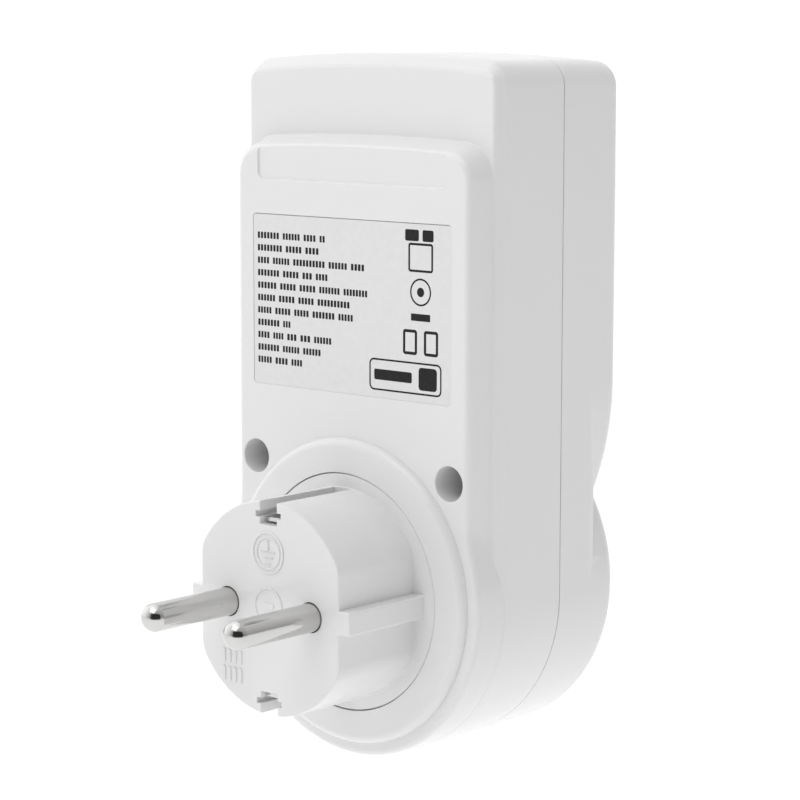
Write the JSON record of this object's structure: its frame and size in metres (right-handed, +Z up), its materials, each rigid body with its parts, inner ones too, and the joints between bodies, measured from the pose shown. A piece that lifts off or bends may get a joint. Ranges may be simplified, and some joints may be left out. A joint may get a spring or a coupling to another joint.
{
  "type": "plug-in power meter",
  "caption": "Plug-in mains power meter: earthed two-pin plug on the back, socket collar on the front, and a display block with keys above it.",
  "frame": {"origin": "centre of the plug's face, on the axis shared by the plug and the socket", "axes": "+Y out of the plug's face along the pins (the back), +Z up towards the display, +X to the right seen from the front"},
  "size_m": [0.058, 0.0761, 0.1204],
  "materials": {
    "white_abs": "satin moulded ABS",
    "light_grey_plastic": "matt moulded nylon",
    "black_plastic": "matt",
    "nickel": "bright nickel plating",
    "brass": "bright",
    "steel": "zinc plated",
    "spring_steel": "bright wire",
    "board_green": "solder-resist coat",
    "label_grey": "matt film",
    "clear_lens": "polished acrylic",
    "lcd_glass": "grey-green reflective",
    "rubber_grey": "matt silicone",
    "key_grey": "fine matt",
    "shutter_red": "matt moulded",
    "epoxy_black": "resin",
    "film_yellow": "moulded case",
    "disc_blue": "epoxy dipped",
    "shrink_green": "heat-shrink sleeve",
    "lead_brown": "PVC insulation",
    "lead_red": "PVC insulation",
    "lead_blue": "PVC insulation",
    "ribbon_grey": "PVC insulation"
  },
  "bodies": {
    "housing": {"rear_shell": "white_abs", "front_shell": "white_abs", "plug_insert": "white_abs", "socket_cup": "white_abs", "rating_label": "label_grey", "display_window": "clear_lens", "lcd_panel": "lcd_glass", "lcd_frame": "black_plastic", "zebra_strip_upper": "rubber_grey", "zebra_strip_lower": "rubber_grey", "display_pcb": "board_green", "display_chip": "epoxy_black", "clock_crystal": "steel", "keypad": "rubber_grey", "plug_pin_left": "nickel", "plug_pin_right": "nickel", "pin_retainer": "light_grey_plastic", "earth_strap": "nickel", "shutter_spring": "spring_steel", "contact_carrier": "light_grey_plastic", "carrier_screw_lower": "steel", "carrier_screw_upper": "steel", "live_contact": "brass", "neutral_contact": "brass", "live_pin_tab": "brass", "power_pcb": "board_green", "x2_capacitor": "film_yellow", "fuse": "black_plastic", "varistor": "disc_blue", "shunt": "brass", "rectifier": "epoxy_black", "smoothing_capacitor": "shrink_green", "voltage_regulator": "epoxy_black", "metering_chip": "epoxy_black", "backup_battery": "shrink_green", "housing_screw_left": "steel", "housing_screw_right": "steel", "pcb_screw_upper_left": "steel", "pcb_screw_upper_right": "steel", "pcb_screw_lower_left": "steel", "pcb_screw_lower_right": "steel", "power_pcb_screw_lower": "steel", "power_pcb_screw_upper": "steel", "ribbon_cable": "ribbon_grey", "live_pin_lead": "lead_brown", "live_contact_lead": "lead_red", "neutral_lead": "lead_blue"},
    "mode_key": {"button_mode": "key_grey"},
    "cost_key": {"button_cost": "key_grey"},
    "down_key": {"button_down": "key_grey"},
    "up_key": {"button_up": "key_grey"},
    "shutter": {"socket_shutter": "shutter_red"}
  },
  "joints": [
    {"name": "mode_press", "type": "slide", "parent": "housing", "child": "mode_key", "axis": [0, 1, 0], "range_m": [0, 0.0008], "stiffness_N_per_m": 1200, "springref_m": -0.0002, "deforming": ["keypad"]},
    {"name": "cost_press", "type": "slide", "parent": "housing", "child": "cost_key", "axis": [0, 1, 0], "range_m": [0, 0.0008], "stiffness_N_per_m": 1200, "springref_m": -0.0002, "deforming": ["keypad"]},
    {"name": "down_press", "type": "slide", "parent": "housing", "child": "down_key", "axis": [0, 1, 0], "range_m": [0, 0.0008], "stiffness_N_per_m": 1200, "springref_m": -0.0002, "deforming": ["keypad"]},
    {"name": "up_press", "type": "slide", "parent": "housing", "child": "up_key", "axis": [0, 1, 0], "range_m": [0, 0.0008], "stiffness_N_per_m": 1200, "springref_m": -0.0002, "deforming": ["keypad"]},
    {"name": "shutter_turn", "type": "hinge", "parent": "housing", "child": "shutter", "pos_m": [0, -0.0357, 0], "axis": [0, -1, 0], "range_deg": [0, 42], "stiffness_Nm_per_rad": 0.006, "springref_deg": -11.46}
  ]
}
